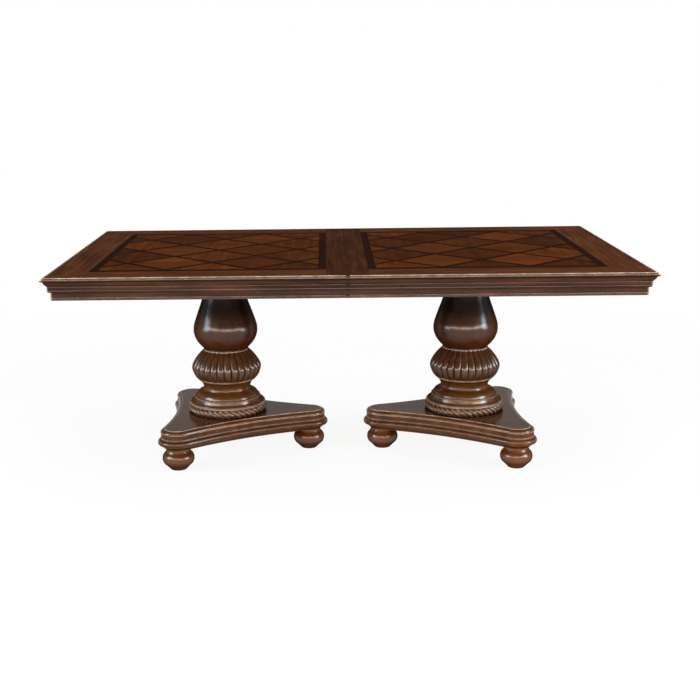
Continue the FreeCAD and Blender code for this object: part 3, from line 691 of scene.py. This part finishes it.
# Glaze with painted shade in recesses, and wear with painted highlight on crests, with reaches and
# heights in metres
edge_glaze_and_shade = {"darkest": 0.35, "reach": 0.010}
bead_glaze_and_shade = {"darkest": 0.12, "reach": 0.012}
board_glaze_and_shade = {"darkest": 0.15, "reach": 0.014}
deep_glaze_and_shade = {"darkest": 0.16, "reach": 0.016}
rope_glaze_and_shade = {"darkest": 0.05, "reach": 0.012}
bead_wear_and_highlight = {"share": 1.0, "reach": 0.006, "low": table_top - bead_depth}
apron_wear_and_highlight = {"share": 0.45, "reach": 0.004}
moulding_wear_and_highlight = {"share": 0.15, "reach": 0.004}
turned_wear_and_highlight = {"share": 0.45, "reach": 0.008}
rope_wear_and_highlight = {"share": 1.0, "reach": 0.010}
foot_wear_and_highlight = {"share": 0.1, "reach": 0.010}
board_wear_and_highlight = {"share": 1.0, "reach": 0.006}


def dress_top():
    border = wood(
        "border_wood", border_tones, grain_round_the_border, top_polish,
        shade=darker_seam_border, seam=True,
    )
    dress(border, *both("border_veneer"))
    dress(diamond_wood("diamond_wood"), *both("diamond_veneers"))
    dark = wood("dark_wood", dark_tones, grain_along_x, top_polish)
    dress(dark, *both("dark_inlay"))
    core = wood("core_wood", core_tones, grain_along_x, bare, glazed=deep_glaze_and_shade)
    dress(core, *both("core_panel", "mounting_plate", "seam_rail"))


def dress_edge_and_aprons():
    edge = wood(
        "edge_wood", brown, grain_round_the_table, edge_polish,
        shade=painted_quirk_shadow, glazed=bead_glaze_and_shade, rubbed=bead_wear_and_highlight, seam=True,
    )
    dress(edge, *both("edge_moulding"))
    moulding = wood(
        "moulding_wood", brown, grain_round_the_table, edge_polish,
        shade=small_knot, glazed=edge_glaze_and_shade, rubbed=moulding_wear_and_highlight, seam=True,
    )
    dress(moulding, *both("apron_moulding"))
    apron = wood(
        "apron_wood", brown, grain_along_x, edge_polish,
        shade=small_knot, glazed=edge_glaze_and_shade, rubbed=apron_wear_and_highlight, seam=True,
    )
    dress(apron, *both("front_apron", "back_apron"))
    end_apron = wood(
        "end_apron_wood", brown, grain_along_y, edge_polish, glazed=edge_glaze_and_shade, rubbed=apron_wear_and_highlight,
    )
    dress(end_apron, *both("end_apron"))


def dress_pedestals():
    urn = turned_wood(
        "urn_wood", urn_tones, grain_along_z, urn_polish, contrast=0.5,
        shade=painted_neck_shade, glazed=edge_glaze_and_shade,
    )
    dress(urn, *both("urn"))
    reeds = turned_wood(
        "turned_wood", reed_tones, grain_along_z, lacquer, glazed=deep_glaze_and_shade, rubbed=turned_wear_and_highlight,
    )
    dress(reeds, *both("reeded_bulb"))
    base = turned_wood(
        "base_wood", turned_tones, grain_along_x, lacquer, glazed=deep_glaze_and_shade, rubbed=turned_wear_and_highlight,
    )
    dress(base, *both("base_turning"))
    rope = turned_wood(
        "rope_wood", turned_tones, grain_along_x, lacquer, glazed=rope_glaze_and_shade, rubbed=rope_wear_and_highlight,
    )
    dress(rope, *both("rope_ring"))
    board = wood(
        "plinth_wood", board_tones, grain_along_x, board_polish, contrast=0.8,
        glazed=board_glaze_and_shade, rubbed=board_wear_and_highlight,
    )
    dress(board, *both("plinth"))
    foot = turned_wood(
        "foot_wood", foot_tones, grain_along_x, foot_polish, glazed=edge_glaze_and_shade, rubbed=foot_wear_and_highlight,
    )
    dress(foot, *both("inner_foot", "back_foot", "front_foot"))
    dress(moulded_plastic("dark_nylon", nylon_colour), *both("foot_glides"))


def dress_slides_and_locks():
    slide = wood("slide_wood", slide_tones, grain_along_x, bare)
    dress(slide, *both("slide_rails"), "seam_dowels", "front_centre_rail", "back_centre_rail")
    steel = brushed_metal("brushed_steel", steel_colour, roughness=0.32, scale=900.0)
    dress(steel, *both("tie_rod", "screws", "racks"), "front_pinion", "back_pinion")
    dress(steel, "front_pinion_pin", "back_pinion_pin", "lock_pivots", "lock_keepers")
    brass = brushed_metal("brushed_brass", brass_colour, roughness=0.3, scale=700.0)
    dress(brass, "front_lock_hook", "back_lock_hook")


bpy.context.scene.view_settings.view_transform = "Standard"
make_camera()
make_world()
make_floor()
make_lamps()
dress_top()
dress_edge_and_aprons()
dress_pedestals()
dress_slides_and_locks()
